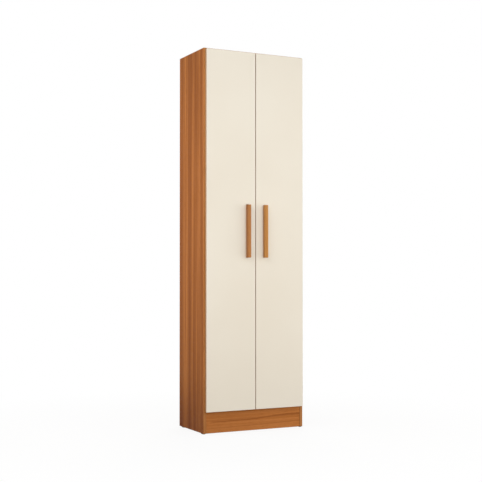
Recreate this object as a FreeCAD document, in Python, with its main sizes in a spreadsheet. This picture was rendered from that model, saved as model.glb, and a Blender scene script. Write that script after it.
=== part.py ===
import FreeCAD, Part
import math
import os
import Sketcher
from FreeCAD import Placement, Rotation, Vector

# Broom cupboard with two overlay doors on concealed hinges.
# X runs along the width, the doors face -Y, and Z = 0 is the floor under the glides.

# Lengths in millimetres.
SIZES = {
    # boards of the carcass
    "overall_width": 540,
    "overall_height": 1841,
    "side_depth": 290,
    "board": 15,
    "edge_round": 0.8,
    "plinth_height": 100,
    "plinth_setback": 2,
    "fixed_shelf_height": 1480,
    "divider_setback": 12,
    "rear_play": 3,
    "overrun": 5,
    # loose shelves and their pins
    "shelf_setback": 24,
    "shelf_end_play": 2,
    "pin_radius": 2.5,
    "pin_depth": 8,
    "pin_collar": 1.5,
    "pin_collar_radius": 4,
    "pin_reach": 9,
    "pin_inset": 35,
    "pin_pitch": 32,
    # back sheets, their joiner and nails
    "back_thickness": 3,
    "back_margin": 2,
    "back_joint": 1,
    "joiner_flange": 1,
    "joiner_reach": 6,
    "joiner_end_play": 2,
    "nail_radius": 0.8,
    "nail_length": 18,
    "nail_head": 0.7,
    "nail_head_radius": 1.8,
    "nail_inset": 45,
    "nail_row": 4,
    # cam fittings and dowels
    "fit_play": 0.05,
    "bore_end_play": 0.5,
    "cam_radius": 7.5,
    "cam_depth": 12,
    "cam_backset": 24,
    "cam_inset": 50,
    "cam_slot_length": 9,
    "cam_slot_width": 1.6,
    "cam_slot_depth": 1.5,
    "bolt_thread": 11,
    "bolt_thread_radius": 2.5,
    "bolt_shank_radius": 3,
    "bolt_neck": 4,
    "bolt_neck_radius": 2,
    "bolt_head": 3,
    "dowel_radius": 4,
    "dowel_in_side": 12,
    "dowel_in_panel": 18,
    "dowel_chamfer": 1,
    "plinth_dowel_inset": 25,
    "divider_dowel_inset": 60,
    "divider_dowel_in_panel": 10,
    # glides
    "glide_height": 3,
    "glide_length": 27,
    "glide_width": 13,
    "glide_round": 5,
    "glide_front_inset": 6,
    "glide_rear_inset": 24,
    "glide_peg": 10,
    "glide_peg_radius": 2,
    # broom hooks
    "hook_wire_radius": 1.75,
    "hook_in_shelf": 11,
    "hook_drop": 14,
    "hook_bend_radius": 11,
    "hook_tip": 7,
    "hook_collar": 1.5,
    "hook_collar_radius": 5,
    # wall brackets
    "bracket_width": 32,
    "bracket_leg": 26,
    "bracket_drop": 34,
    "bracket_thickness": 2,
    "bracket_inset": 55,
    "bracket_screw_pitch": 18,
    "wall_hole_radius": 2.75,
    # doors
    "door_thickness": 15,
    "door_gap": 2,
    "door_reveal": 7,
    "door_lift": 2.5,
    "door_drop": 5,
    "doors_gap": 3,
    "bumper_radius": 4,
    "bumper_play": 0.2,
    "bumper_inset": 20,
    # handles
    "handle_length": 256,
    "handle_width": 17,
    "handle_depth": 28,
    "handle_waist": 10,
    "handle_flank": 10,
    "handle_round": 2,
    "handle_inset": 36.5,
    "handle_bottom": 840,
    "handle_screw_pitch": 192,
    "handle_screw_depth": 11,
    "handle_screw_radius": 2,
    "handle_screw_head": 2.4,
    "handle_screw_head_radius": 4.5,
    # hinges, measured from the door's outer edge and its back
    "hinge_end": 100,
    "pivot_inset": 5.5,
    "pivot_depth": 8.2,
    "hinge_pin_radius": 1.1,
    "hinge_pin_fit": 0.03,
    "hinge_running_play": 0.06,
    "hinge_eye_wall": 1.1,
    "hinge_eye_width": 6,
    "hinge_side_play": 0.4,
    "hinge_lug": 1.8,
    "hinge_lug_length": 4,
    "cup_edge": 3,
    "cup_radius": 17.5,
    "cup_depth": 12,
    "cup_wall": 0.8,
    "cup_flange": 1,
    "cup_flange_width": 22,
    "cup_flange_length": 62,
    "cup_screw_pitch": 48,
    "cup_screw_offset": 5.5,
    "spring_length": 20,
    "spring_width": 5,
    "spring_thickness": 0.4,
    "arm_inset": 16.2,
    "arm_thickness": 1.6,
    "arm_width": 12,
    "arm_start": 4,
    "arm_length": 66,
    "arm_wall": 1.2,
    "arm_play": 0.3,
    "arm_screw_radius": 2.5,
    "arm_screw_depth": 5,
    "arm_screw_head": 2,
    "arm_screw_head_radius": 4,
    "arm_screw_pitch": 24,
    "plate_base": 2.5,
    "plate_start": 22,
    "plate_length": 42,
    "plate_wing_width": 15,
    "plate_wing_length": 48,
    "plate_screw_inset": 37,
    "plate_screw_pitch": 32,
    # wood screws of hinges and brackets
    "screw_radius": 1.75,
    "screw_length": 10,
    "screw_head": 1.6,
    "screw_head_radius": 3.4,
}
HINGE_COUNT = 4
HOOK_COUNT = 3
SIDE_NAIL_COUNT = 5
PANEL_NAIL_COUNT = 3
PIN_ROW = (-1, 0, 1)
# Loose shelves stand at these shares of the way from the lowest hinge to the highest, clear of every hinge.
shelf_shares = {"lower_shelf": 1 / 6, "middle_shelf": 2 / 5, "upper_shelf": 3 / 5}

doc = FreeCAD.newDocument("broom_cupboard")
sheet = doc.addObject("Spreadsheet::Sheet", "Sizes")
for row, (alias, value) in enumerate(SIZES.items(), 1):
    sheet.set(f"A{row}", alias)
    sheet.set(f"B{row}", str(value))
    sheet.setAlias(f"B{row}", alias)
doc.recompute()

# Planes and levels that several pieces share, as expressions of the sheet's cells.
HALF = "(Sizes.overall_width / 2)"
INNER = f"({HALF} - Sizes.board)"
PROUD = "(Sizes.handle_depth + Sizes.door_thickness + Sizes.door_gap)"
DEPTH = f"({PROUD} + Sizes.side_depth + Sizes.back_thickness + Sizes.joiner_flange)"
FRONT = f"({PROUD} - {DEPTH} / 2)"
REAR = f"({FRONT} + Sizes.side_depth)"
FOOT = "Sizes.glide_height"
TOP = "Sizes.overall_height"
TOP_UNDER = f"({TOP} - Sizes.board)"
BASE_UNDER = f"({FOOT} + Sizes.plinth_height)"
BASE_TOP = f"({BASE_UNDER} + Sizes.board)"
SHELF_UNDER = "Sizes.fixed_shelf_height"
SHELF_MIDDLE = f"({SHELF_UNDER} + Sizes.board / 2)"
DOOR_BACK = f"({FRONT} - Sizes.door_gap)"
DOOR_FACE = f"({DOOR_BACK} - Sizes.door_thickness)"
DOOR_EDGE = f"({HALF} - Sizes.door_reveal)"
DOOR_LOW = f"({BASE_UNDER} + Sizes.door_lift)"
DOOR_HIGH = f"({TOP} - Sizes.door_drop)"
LOW_HINGE = f"({DOOR_LOW} + Sizes.hinge_end)"
HIGH_HINGE = f"({DOOR_HIGH} - Sizes.hinge_end)"

# Turns that point a piece drawn along +Z the way it is fitted.
TURNS = {
    "+x": Rotation(Vector(0, 0, 1), Vector(1, 0, 0)),
    "-x": Rotation(Vector(0, 0, 1), Vector(-1, 0, 0)),
    "+y": Rotation(Vector(0, 0, 1), Vector(0, 1, 0)),
    "-y": Rotation(Vector(0, 0, 1), Vector(0, -1, 0)),
    "+z": Rotation(),
    "-z": Rotation(Vector(0, 0, 1), Vector(0, 0, -1)),
    "back to front": Rotation(Vector(0, 0, 1), 180),
}
NODES = {}


def node(label, piece):
    piece.Label = label
    NODES[label] = piece
    return piece


def place(piece, point, turn="+z"):
    piece.Placement = Placement(Vector(), TURNS[turn])
    for axis, expression in zip("xyz", point):
        piece.setExpression(f"Placement.Base.{axis}", expression)
    return piece


def block(name, corner, size):
    piece = doc.addObject("Part::Box", name)
    for side, expression in zip(("Length", "Width", "Height"), size):
        piece.setExpression(side, expression)
    return place(piece, corner)


def rod(name, start, turn, radius, length):
    piece = doc.addObject("Part::Cylinder", name)
    piece.setExpression("Radius", radius)
    piece.setExpression("Height", length)
    return place(piece, start, turn)


def bore(start, turn, radius, depth):
    """Drill that enters at start, with an overrun outside the board."""
    sign, along = turn
    back = "+" if sign == "-" else "-"
    outside = [f"{p} {back} Sizes.overrun" if axis == along else p for axis, p in zip("xyz", start)]
    return rod("bore", outside, turn, f"{radius} + Sizes.fit_play", f"{depth} + Sizes.overrun")


def gather(name, pieces):
    group = doc.addObject("Part::Compound", name)
    group.Links = pieces
    return group


def copies(label, master, places):
    """Node of separate equal pieces, each a copy of the master at its own place."""
    links = []
    for point, turn in places:
        link = doc.addObject("App::Link", f"{label}_copy")
        link.LinkedObject = master
        links.append(place(link, point, turn))
    return node(label, gather(f"{label}_group", links))


def fuse(name, *pieces):
    joined = doc.addObject("Part::MultiFuse", name)
    joined.Shapes = pieces
    return joined


def cut(name, base, *tools):
    for tool in tools:
        result = doc.addObject("Part::Cut", name)
        result.Base = base
        result.Tool = gather(f"{name}_tools", tool) if isinstance(tool, list) else tool
        base = result
    return base


def mirrored(name, source):
    piece = doc.addObject("Part::Mirroring", name)
    piece.Source = source
    piece.Normal = Vector(1, 0, 0)
    return piece


def pair(name, left_piece):
    """The left piece as a node, and its mirror image as the right one."""
    node(f"left_{name}", left_piece)
    node(f"right_{name}", mirrored(f"right_{name}_mirror", left_piece))


def rounded(body, edges_of, wanted, radius):
    doc.recompute()
    edges = [f"Edge{i}" for i, edge in enumerate(edges_of.Shape.Edges, 1) if wanted(edge.BoundBox)]
    fillet = body.newObject("PartDesign::Fillet", f"{body.Name}_rounding")
    fillet.Base = (edges_of, edges)
    fillet.setExpression("Radius", radius)
    return fillet


def board(name, corner, size):
    """Board with every edge eased a little."""
    body = doc.addObject("PartDesign::Body", f"{name}_board")
    blank = body.newObject("PartDesign::AdditiveBox", f"{name}_blank")
    for side, expression in zip(("Length", "Width", "Height"), size):
        blank.setExpression(side, expression)
    rounded(body, blank, lambda box: True, "Sizes.edge_round")
    return place(body, corner)


def outline(body, plane, points):
    """Closed sketch whose corners each hold their two distances from the sketch's axes."""
    sketch = body.newObject("Sketcher::SketchObject", f"{body.Name}_outline")
    support = next(f for f in body.Origin.OriginFeatures if f.Role == plane)
    sketch.AttachmentSupport = [(support, "")]
    sketch.MapMode = "FlatFace"
    turns = [math.tau * i / len(points) for i in range(len(points))]
    start = [Vector(math.cos(a), math.sin(a), 0) for a in turns]
    for i, corner in enumerate(start):
        sketch.addGeometry(Part.LineSegment(corner, start[(i + 1) % len(start)]), False)
    for i, (across, up) in enumerate(points):
        before = (i - 1) % len(points)
        sketch.addConstraint(Sketcher.Constraint("Coincident", before, 2, i, 1))
        for kind, axis, expression in (("DistanceX", -2, across), ("DistanceY", -1, up)):
            if expression == "0":
                sketch.addConstraint(Sketcher.Constraint("PointOnObject", i, 1, axis))
            else:
                held = sketch.addConstraint(Sketcher.Constraint(kind, -1, 1, i, 1, 1))
                sketch.setExpression(f"Constraints[{held}]", expression)
    return sketch


def turned(name, points):
    """Round piece about +Z from a half outline of (radius, height) corners."""
    body = doc.addObject("PartDesign::Body", name)
    sketch = outline(body, "XZ_Plane", points)
    turning = body.newObject("PartDesign::Revolution", f"{name}_turning")
    turning.Profile = sketch
    turning.ReferenceAxis = (sketch, ["V_Axis"])
    return body


def fastener(name, radius, length, head, head_radius):
    """Screw or nail that points down from its head's seat at the origin."""
    seat = [("0", head), (head_radius, head), (head_radius, "0")]
    return turned(name, seat + [(radius, "0"), (radius, f"-{length}"), ("0", f"-{length}")])


def between(low, high, count):
    """Even steps from low to high, both included."""
    return [f"({low} + ({high} - {low}) * {i} / {count - 1})" for i in range(count)]


# Places of the cam fittings and dowels, at both ends of the three panels that tie the sides.
tied_levels = (BASE_UNDER, SHELF_UNDER, TOP_UNDER)
cam_depths = (f"({FRONT} + Sizes.cam_inset)", f"({REAR} - Sizes.cam_inset)")
panel_dowel_depth = f"({FRONT} + Sizes.side_depth / 2)"
plinth_depths = (f"({FRONT} + Sizes.plinth_setback + Sizes.board / 2)", f"({REAR} - Sizes.board / 2)")
plinth_dowel_levels = between(
    f"({FOOT} + Sizes.plinth_dowel_inset)", f"({BASE_UNDER} - Sizes.plinth_dowel_inset)", 2
)
side_dowels = [(panel_dowel_depth, f"({level} + Sizes.board / 2)") for level in tied_levels]
side_dowels += [(depth, level) for depth in plinth_depths for level in plinth_dowel_levels]
divider_dowel_depths = between(
    f"({FRONT} + Sizes.divider_dowel_inset)", f"({REAR} - Sizes.divider_dowel_inset)", 2
)

# Hinges stand at even steps between the ends of the door.
hinge_levels = between(LOW_HINGE, HIGH_HINGE, HINGE_COUNT)
plate_screw_levels = [
    f"({level} {sign} Sizes.plate_screw_pitch / 2)" for level in hinge_levels for sign in "+-"
]
plate_screw_depth = f"({FRONT} + Sizes.plate_screw_inset)"

# Shelf pins stand in two upright rows on the divider and on the right side.
shelf_levels = {
    name: f"({LOW_HINGE} + {share} * ({HIGH_HINGE} - {LOW_HINGE}))" for name, share in shelf_shares.items()
}
SHELF_FRONT = f"({FRONT} + Sizes.shelf_setback)"
SHELF_REAR = f"({REAR} - Sizes.rear_play)"
pin_depths = (f"({SHELF_FRONT} + Sizes.pin_inset)", f"({SHELF_REAR} - Sizes.pin_inset)")
pin_levels = [f"({level} - Sizes.pin_radius)" for level in shelf_levels.values()]


def pin_bores(wall, turn):
    return [
        bore((wall, depth, f"({level} + {step} * Sizes.pin_pitch)"), turn,
             "Sizes.pin_radius", "Sizes.pin_depth + Sizes.bore_end_play")
        for depth in pin_depths for level in pin_levels for step in PIN_ROW
    ]


# Back sheets: the lower two meet in the joiner, the upper one starts behind the fixed shelf.
BACK_LOW = f"({BASE_UNDER} + Sizes.back_margin)"
BACK_HIGH = f"({TOP} - Sizes.back_margin)"
JOINER_LEVEL = f"(({BACK_LOW} + {SHELF_MIDDLE}) / 2)"
BACK_HALF = f"({HALF} - Sizes.back_margin)"
sheet_spans = {
    "lower_back": (BACK_LOW, f"({JOINER_LEVEL} - Sizes.back_joint / 2)"),
    "middle_back": (f"({JOINER_LEVEL} + Sizes.back_joint / 2)", f"({SHELF_MIDDLE} - Sizes.back_joint / 2)"),
    "upper_back": (f"({SHELF_MIDDLE} + Sizes.back_joint / 2)", BACK_HIGH),
}
SIDE_MIDDLE = f"({HALF} - Sizes.board / 2)"
nails_of_side = [
    level
    for low, high in sheet_spans.values()
    for level in between(f"({low} + Sizes.nail_inset)", f"({high} - Sizes.nail_inset)", SIDE_NAIL_COUNT)
]
nail_columns = between(f"(-{INNER} / 2)", f"({INNER} / 2)", PANEL_NAIL_COUNT)
nails_of_panel = {
    "bottom_panel": [f"({BASE_UNDER} + Sizes.board / 2)"],
    "fixed_shelf": [f"({SHELF_MIDDLE} - Sizes.nail_row)", f"({SHELF_MIDDLE} + Sizes.nail_row)"],
    "top_panel": [f"({TOP_UNDER} + Sizes.board / 2)"],
}
NAIL_FACE = f"({REAR} + Sizes.back_thickness)"
nail_points = [(f"({sign}{SIDE_MIDDLE})", level) for sign in "-+" for level in nails_of_side]
nail_points += [(x, z) for rows in nails_of_panel.values() for z in rows for x in nail_columns]


def nail_bores(points):
    return [bore((x, NAIL_FACE, z), "-y", "Sizes.nail_radius", "Sizes.nail_length") for x, z in points]


# Sides: drilled inside for bolts, dowels and hinge plates, below for the glides' pegs.
glide_depths = (
    f"({FRONT} + Sizes.glide_front_inset + Sizes.glide_length / 2)",
    f"({REAR} - Sizes.glide_rear_inset - Sizes.glide_length / 2)",
)
left_side_bores = [
    bore((f"(-{INNER})", depth, f"({level} + Sizes.board / 2)"), "-x",
         "Sizes.bolt_thread_radius", "Sizes.bolt_thread + Sizes.bore_end_play")
    for level in tied_levels for depth in cam_depths
]
left_side_bores += [
    bore((f"(-{INNER})", depth, level), "-x",
         "Sizes.dowel_radius", "Sizes.dowel_in_side + Sizes.bore_end_play")
    for depth, level in side_dowels
]
left_side_bores += [
    bore((f"(-{INNER})", plate_screw_depth, level), "-x", "Sizes.screw_radius", "Sizes.screw_length")
    for level in plate_screw_levels
]
left_side_bores += [
    bore((f"(-{SIDE_MIDDLE})", depth, FOOT), "+z",
         "Sizes.glide_peg_radius", "Sizes.glide_peg + Sizes.bore_end_play")
    for depth in glide_depths
]
left_side = cut(
    "left_side_drilled",
    board("left_side", (f"(-{HALF})", FRONT, FOOT), ("Sizes.board", "Sizes.side_depth", f"{TOP} - {FOOT}")),
    left_side_bores + nail_bores([(f"(-{SIDE_MIDDLE})", level) for level in nails_of_side]),
)
node("left_side", left_side)
right_side = mirrored("right_side_mirror", left_side)
node("right_side", cut("right_side_drilled", right_side, pin_bores(INNER, "+x")))


# Panels between the sides: cams go in from below, bolts and dowels at the ends.
def panel_bores(level, name):
    middle = f"({level} + Sizes.board / 2)"
    cam_bores = []
    end_bores = nail_bores([(x, z) for z in nails_of_panel[name] for x in nail_columns])
    for sign, turn in (("-", "+x"), ("+", "-x")):
        end = f"({sign}{INNER})"
        for depth in cam_depths:
            centre = f"({sign}({INNER} - Sizes.cam_backset))"
            cam_bores.append(bore((centre, depth, level), "+z", "Sizes.cam_radius", "Sizes.cam_depth"))
            end_bores.append(bore((end, depth, middle), turn, "Sizes.bolt_shank_radius + Sizes.fit_play",
                                  "Sizes.cam_backset"))
        end_bores.append(bore((end, panel_dowel_depth, middle), turn, "Sizes.dowel_radius",
                              "Sizes.dowel_in_panel + Sizes.bore_end_play"))
    return cam_bores, end_bores


def divider_bores(level, turn):
    return [
        bore(("0", depth, level), turn,
             "Sizes.dowel_radius", "Sizes.divider_dowel_in_panel + Sizes.bore_end_play")
        for depth in divider_dowel_depths
    ]


hook_columns = between(f"(-{INNER} * 3 / 4)", f"(-{INNER} / 4)", HOOK_COUNT)
hook_depth = panel_dowel_depth
hook_bores = [
    bore((x, hook_depth, SHELF_UNDER), "+z",
         "Sizes.hook_wire_radius", "Sizes.hook_in_shelf + Sizes.bore_end_play")
    for x in hook_columns
]
bracket_columns = [f"({sign}({INNER} - Sizes.bracket_inset))" for sign in "-+"]
bracket_screw_points = [
    (f"({x} {sign} Sizes.bracket_screw_pitch / 2)", f"({REAR} - Sizes.bracket_leg / 2)")
    for x in bracket_columns for sign in "-+"
]
bracket_bores = [
    bore((x, y, TOP_UNDER), "+z", "Sizes.screw_radius", "Sizes.screw_length") for x, y in bracket_screw_points
]
panel_size = (f"2 * {INNER}", "Sizes.side_depth", "Sizes.board")
shelf_size = (f"2 * {INNER}", "Sizes.side_depth - Sizes.divider_setback", "Sizes.board")
PANEL_CORNER = f"(-{INNER})"
DIVIDER_FRONT = f"({FRONT} + Sizes.divider_setback)"
node("bottom_panel", cut(
    "bottom_panel_drilled",
    board("bottom_panel", (PANEL_CORNER, FRONT, BASE_UNDER), panel_size),
    *panel_bores(BASE_UNDER, "bottom_panel"), divider_bores(BASE_TOP, "-z"),
))
node("top_panel", cut(
    "top_panel_drilled",
    board("top_panel", (PANEL_CORNER, FRONT, TOP_UNDER), panel_size),
    *panel_bores(TOP_UNDER, "top_panel"), bracket_bores,
))
node("fixed_shelf", cut(
    "fixed_shelf_drilled",
    board("fixed_shelf", (PANEL_CORNER, DIVIDER_FRONT, SHELF_UNDER), shelf_size),
    *panel_bores(SHELF_UNDER, "fixed_shelf"), divider_bores(SHELF_UNDER, "+z") + hook_bores,
))

# Divider between the broom bay and the shelves, dowelled at both ends.
divider_end_bores = [
    bore(("0", depth, level), turn, "Sizes.dowel_radius", "Sizes.dowel_in_panel + Sizes.bore_end_play")
    for level, turn in ((BASE_TOP, "+z"), (SHELF_UNDER, "-z")) for depth in divider_dowel_depths
]
node("divider", cut(
    "divider_drilled",
    board("divider", ("-Sizes.board / 2", DIVIDER_FRONT, BASE_TOP),
          ("Sizes.board", f"{SHELF_REAR} - {DIVIDER_FRONT}", f"{SHELF_UNDER} - {BASE_TOP}")),
    divider_end_bores + pin_bores("(Sizes.board / 2)", "-x"),
))

# Loose shelves lie on their pins, clear of the pins' collars.
SHELF_LEFT = "(Sizes.board / 2 + Sizes.shelf_end_play)"
for name, level in shelf_levels.items():
    node(name, board(name, (SHELF_LEFT, SHELF_FRONT, level), (
        f"{INNER} - Sizes.shelf_end_play - {SHELF_LEFT}", f"{SHELF_REAR} - {SHELF_FRONT}", "Sizes.board")))
shelf_pin = turned("shelf_pin", [
    ("0", "-Sizes.pin_depth"), ("Sizes.pin_radius", "-Sizes.pin_depth"), ("Sizes.pin_radius", "0"),
    ("Sizes.pin_collar_radius", "0"), ("Sizes.pin_collar_radius", "Sizes.pin_collar"),
    ("Sizes.pin_radius", "Sizes.pin_collar"), ("Sizes.pin_radius", "Sizes.pin_reach"),
    ("0", "Sizes.pin_reach"),
])
copies("shelf_pins", shelf_pin, [
    ((wall, depth, level), turn)
    for wall, turn in (("Sizes.board / 2", "+x"), (INNER, "-x"))
    for depth in pin_depths for level in pin_levels
])

# Plinths under the bottom panel, the front one a little behind the sides' front edges.
for name, depth in zip(("front_plinth", "rear_plinth"), plinth_depths):
    plinth = board(name, (PANEL_CORNER, f"({depth} - Sizes.board / 2)", FOOT),
                   (f"2 * {INNER}", "Sizes.board", "Sizes.plinth_height"))
    node(name, cut(f"{name}_drilled", plinth, [
        bore((f"({sign}{INNER})", depth, level), turn, "Sizes.dowel_radius",
             "Sizes.dowel_in_panel + Sizes.bore_end_play")
        for sign, turn in (("-", "+x"), ("+", "-x")) for level in plinth_dowel_levels
    ]))

# Cam nuts with a bore for the bolt's head and a cross slot for the screwdriver.
cam_middle = "Sizes.board / 2"
slot_sizes = ("Sizes.cam_slot_length", "Sizes.cam_slot_width")
cam_slots = [
    block("cam_slot", (f"-{along} / 2", f"-{across} / 2", "-Sizes.overrun"),
          (along, across, "Sizes.cam_slot_depth + Sizes.overrun"))
    for along, across in (slot_sizes, slot_sizes[::-1])
]
cam_nut = cut(
    "cam_nut",
    rod("cam_nut_blank", ("0", "0", "0"), "+z", "Sizes.cam_radius", "Sizes.cam_depth"),
    rod("cam_nut_bore", ("-Sizes.cam_radius - Sizes.overrun", "0", cam_middle), "+x",
        "Sizes.bolt_shank_radius + Sizes.fit_play", "Sizes.cam_radius + Sizes.overrun + Sizes.bore_end_play"),
    *cam_slots,
)
copies("cam_nuts", cam_nut, [
    ((f"({sign}({INNER} - Sizes.cam_backset))", depth, level), turn)
    for sign, turn in (("-", "+z"), ("+", "back to front")) for level in tied_levels for depth in cam_depths
])
NECK_START = "(Sizes.cam_backset - Sizes.bolt_head - Sizes.bolt_neck)"
NECK_END = "(Sizes.cam_backset - Sizes.bolt_head)"
cam_bolt = turned("cam_bolt", [
    ("0", "-Sizes.bolt_thread"), ("Sizes.bolt_thread_radius", "-Sizes.bolt_thread"),
    ("Sizes.bolt_thread_radius", "0"), ("Sizes.bolt_shank_radius", "0"),
    ("Sizes.bolt_shank_radius", NECK_START), ("Sizes.bolt_neck_radius", NECK_START),
    ("Sizes.bolt_neck_radius", NECK_END), ("Sizes.bolt_shank_radius", NECK_END),
    ("Sizes.bolt_shank_radius", "Sizes.cam_backset"), ("0", "Sizes.cam_backset"),
])
copies("cam_bolts", cam_bolt, [
    ((f"({sign}{INNER})", depth, f"({level} + {cam_middle})"), turn)
    for sign, turn in (("-", "+x"), ("+", "-x")) for level in tied_levels for depth in cam_depths
])


# Dowels with chamfered ends, drawn with the joint at the origin.
def dowel(name, below, above):
    tip = "Sizes.dowel_radius - Sizes.dowel_chamfer"
    return turned(name, [
        ("0", f"-{below}"), (tip, f"-{below}"), ("Sizes.dowel_radius", f"Sizes.dowel_chamfer - {below}"),
        ("Sizes.dowel_radius", f"{above} - Sizes.dowel_chamfer"), (tip, above), ("0", above),
    ])


side_dowel = dowel("side_dowel", "Sizes.dowel_in_side", "Sizes.dowel_in_panel")
copies("side_dowels", side_dowel, [
    ((f"({sign}{INNER})", depth, level), turn)
    for sign, turn in (("-", "+x"), ("+", "-x")) for depth, level in side_dowels
])
divider_dowel = dowel("divider_dowel", "Sizes.divider_dowel_in_panel", "Sizes.dowel_in_panel")
copies("divider_dowels", divider_dowel, [
    (("0", depth, level), turn)
    for level, turn in ((BASE_TOP, "+z"), (SHELF_UNDER, "-z")) for depth in divider_dowel_depths
])

# Back sheets, with holes for the nails and, in the upper one, for the wall screws.
WALL_LEVEL = f"({TOP_UNDER} - (Sizes.bracket_thickness + Sizes.bracket_drop) / 2)"
nail_bores_of_sheets = nail_bores(nail_points)
wall_bores = [
    rod("wall_bore", (x, f"({REAR} - Sizes.overrun)", WALL_LEVEL), "+y",
        "Sizes.wall_hole_radius", "Sizes.back_thickness + 2 * Sizes.overrun")
    for x in bracket_columns
]
for name, (low, high) in sheet_spans.items():
    sheet_blank = block(f"{name}_blank", (f"(-{BACK_HALF})", REAR, low),
                        (f"2 * {BACK_HALF}", "Sizes.back_thickness", f"{high} - {low}"))
    node(name, cut(f"{name}_drilled", sheet_blank, nail_bores_of_sheets + wall_bores))
back_nail = fastener("back_nail", "Sizes.nail_radius", "Sizes.nail_length", "Sizes.nail_head",
                     "Sizes.nail_head_radius")
copies("back_nails", back_nail, [((x, NAIL_FACE, z), "+y") for x, z in nail_points])

# Joiner strip: an H section that holds the edges of the lower two sheets.
JOINER_HALF = f"({INNER} - Sizes.joiner_end_play)"
joiner_flanges = [
    block("joiner_flange", (f"(-{JOINER_HALF})", depth, f"({JOINER_LEVEL} - Sizes.joiner_reach)"),
          (f"2 * {JOINER_HALF}", "Sizes.joiner_flange", "2 * Sizes.joiner_reach"))
    for depth in (f"({REAR} - Sizes.joiner_flange)", NAIL_FACE)
]
joiner_web = block("joiner_web", (f"(-{JOINER_HALF})", REAR, f"({JOINER_LEVEL} - Sizes.back_joint / 2)"),
                   (f"2 * {JOINER_HALF}", "Sizes.back_thickness", "Sizes.back_joint"))
node("back_joiner", fuse("back_joiner_strip", joiner_web, *joiner_flanges))

# Glides: flat plastic pads under the sides, each with a peg pressed into the board.
glide = doc.addObject("PartDesign::Body", "glide")
glide_pad = glide.newObject("PartDesign::AdditiveBox", "glide_pad")
glide_pad.setExpression("Length", "Sizes.glide_width")
glide_pad.setExpression("Width", "Sizes.glide_length")
glide_pad.setExpression("Height", "Sizes.glide_height")
place(glide_pad, ("-Sizes.glide_width / 2", "-Sizes.glide_length / 2", "0"))
rounded(glide, glide_pad, lambda box: box.ZLength > box.XLength + box.YLength, "Sizes.glide_round")
glide_peg = glide.newObject("PartDesign::AdditiveCylinder", "glide_peg")
glide_peg.setExpression("Radius", "Sizes.glide_peg_radius")
glide_peg.setExpression("Height", "Sizes.glide_height + Sizes.glide_peg")
copies("glides", glide, [
    ((f"({sign}{SIDE_MIDDLE})", depth, "0"), "+z") for sign in "-+" for depth in glide_depths
])

# Broom hooks: bent wire screwed into the fixed shelf up to a flat collar.
HOOK_BEND = "(-Sizes.hook_drop)"
hook_bend = doc.addObject("Part::Torus", "hook_bend")
hook_bend.setExpression("Radius1", "Sizes.hook_bend_radius")
hook_bend.setExpression("Radius2", "Sizes.hook_wire_radius")
hook_bend.Angle3 = 180
hook_bend.Placement = Placement(Vector(), Rotation(Vector(0, -1, 0), Vector(-1, 0, 0), Vector(0, 0, -1)))
hook_bend.setExpression("Placement.Base.y", "-Sizes.hook_bend_radius")
hook_bend.setExpression("Placement.Base.z", HOOK_BEND)
hook_tip_end = doc.addObject("Part::Sphere", "hook_tip_end")
hook_tip_end.setExpression("Radius", "Sizes.hook_wire_radius")
place(hook_tip_end, ("0", "-2 * Sizes.hook_bend_radius", f"({HOOK_BEND} + Sizes.hook_tip)"))
broom_hook = fuse(
    "broom_hook",
    rod("hook_shank", ("0", "0", HOOK_BEND), "+z", "Sizes.hook_wire_radius",
        "Sizes.hook_drop + Sizes.hook_in_shelf"),
    rod("hook_collar", ("0", "0", "-Sizes.hook_collar"), "+z",
        "Sizes.hook_collar_radius", "Sizes.hook_collar"),
    hook_bend,
    rod("hook_tip", ("0", "-2 * Sizes.hook_bend_radius", HOOK_BEND), "+z", "Sizes.hook_wire_radius",
        "Sizes.hook_tip"),
    hook_tip_end,
)
copies("broom_hooks", broom_hook, [((x, hook_depth, SHELF_UNDER), "+z") for x in hook_columns])

# Wall brackets: steel angles under the top panel that keep the cupboard from tipping.
bracket_corner = ("-Sizes.bracket_width / 2", f"({REAR} - Sizes.bracket_leg)")
bracket_angle = fuse(
    "bracket_angle",
    block("bracket_top", (*bracket_corner, f"({TOP_UNDER} - Sizes.bracket_thickness)"),
          ("Sizes.bracket_width", "Sizes.bracket_leg", "Sizes.bracket_thickness")),
    block("bracket_back", ("-Sizes.bracket_width / 2", f"({REAR} - Sizes.bracket_thickness)",
                           f"({TOP_UNDER} - Sizes.bracket_drop)"),
          ("Sizes.bracket_width", "Sizes.bracket_thickness", "Sizes.bracket_drop")),
)
wall_bracket = cut(
    "wall_bracket", bracket_angle,
    [bore((f"({sign}Sizes.bracket_screw_pitch / 2)", f"({REAR} - Sizes.bracket_leg / 2)",
           f"({TOP_UNDER} - Sizes.bracket_thickness)"), "+z", "Sizes.screw_radius",
          "Sizes.bracket_thickness + Sizes.overrun") for sign in "-+"],
    rod("bracket_wall_bore", ("0", f"({REAR} - Sizes.overrun)", WALL_LEVEL), "+y", "Sizes.wall_hole_radius",
        "2 * Sizes.overrun"),
)
copies("wall_brackets", wall_bracket, [((x, "0", "0"), "+z") for x in bracket_columns])
bracket_screw = fastener("bracket_screw", "Sizes.screw_radius", "Sizes.screw_length", "Sizes.screw_head",
                         "Sizes.screw_head_radius")
copies("bracket_screws", bracket_screw, [
    ((x, y, f"({TOP_UNDER} - Sizes.bracket_thickness)"), "-z") for x, y in bracket_screw_points
])

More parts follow.
